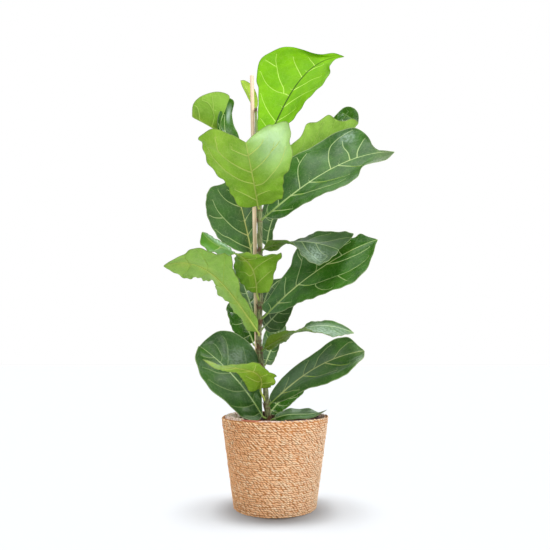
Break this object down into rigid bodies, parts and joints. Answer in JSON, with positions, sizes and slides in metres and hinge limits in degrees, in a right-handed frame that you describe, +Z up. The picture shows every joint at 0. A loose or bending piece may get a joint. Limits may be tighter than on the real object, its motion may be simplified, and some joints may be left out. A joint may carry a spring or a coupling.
{
  "type": "potted fiddle leaf fig",
  "caption": "Young single-stemmed fiddle leaf fig, tied to a wooden stake and growing in a plastic nursery pot inside a lined round seagrass basket.",
  "frame": {"origin": "middle of the basket's underside, on the floor", "axes": "+Z up along the plant, +X to the right and -Y towards the viewer in the picture"},
  "size_m": [0.5232, 0.4311, 1.1323],
  "materials": {
    "seagrass": "twisted dry seagrass rope, sewn in close rows, warm straw colour, matte",
    "film": "thin pale plastic film, slightly creased",
    "pot_plastic": "terracotta-coloured moulded plastic, satin",
    "soil": "dark peat soil, coarse and matte",
    "bark": "smooth olive-grey young bark with leaf scars and dry brown scales",
    "stake_wood": "plain pale softwood dowel, sanded",
    "tie": "brown garden tie, matte",
    "leaf_mature": "leathery leaf, glossy dark green above and matte lighter green below, pale veins",
    "leaf_young": "leathery young leaf, bright green above and matte pale green below, pale veins",
    "leaf_lime": "soft glossy new leaf, vivid lime green with raised pale veins"
  },
  "bodies": {
    "root": {"basket": "seagrass", "liner": "film", "nursery_pot": "pot_plastic", "soil": "soil", "stem": "bark", "stake": "stake_wood", "tie_1": "tie", "tie_2": "tie", "leaf_00": "leaf_young", "leaf_01": "leaf_lime", "leaf_02": "leaf_young", "leaf_03": "leaf_mature", "leaf_04": "leaf_mature", "leaf_05": "leaf_mature", "leaf_06": "leaf_mature", "leaf_07": "leaf_mature", "leaf_08": "leaf_young", "leaf_09": "leaf_mature", "leaf_10": "leaf_mature", "leaf_11": "leaf_young", "leaf_12": "leaf_mature", "leaf_13": "leaf_mature", "leaf_14": "leaf_mature", "leaf_15": "leaf_mature", "leaf_16": "leaf_mature", "leaf_17": "leaf_mature", "leaf_18": "leaf_mature", "leaf_19": "leaf_young", "leaf_20": "leaf_mature", "leaf_21": "leaf_mature", "leaf_22": "leaf_mature"}
  },
  "joints": []
}
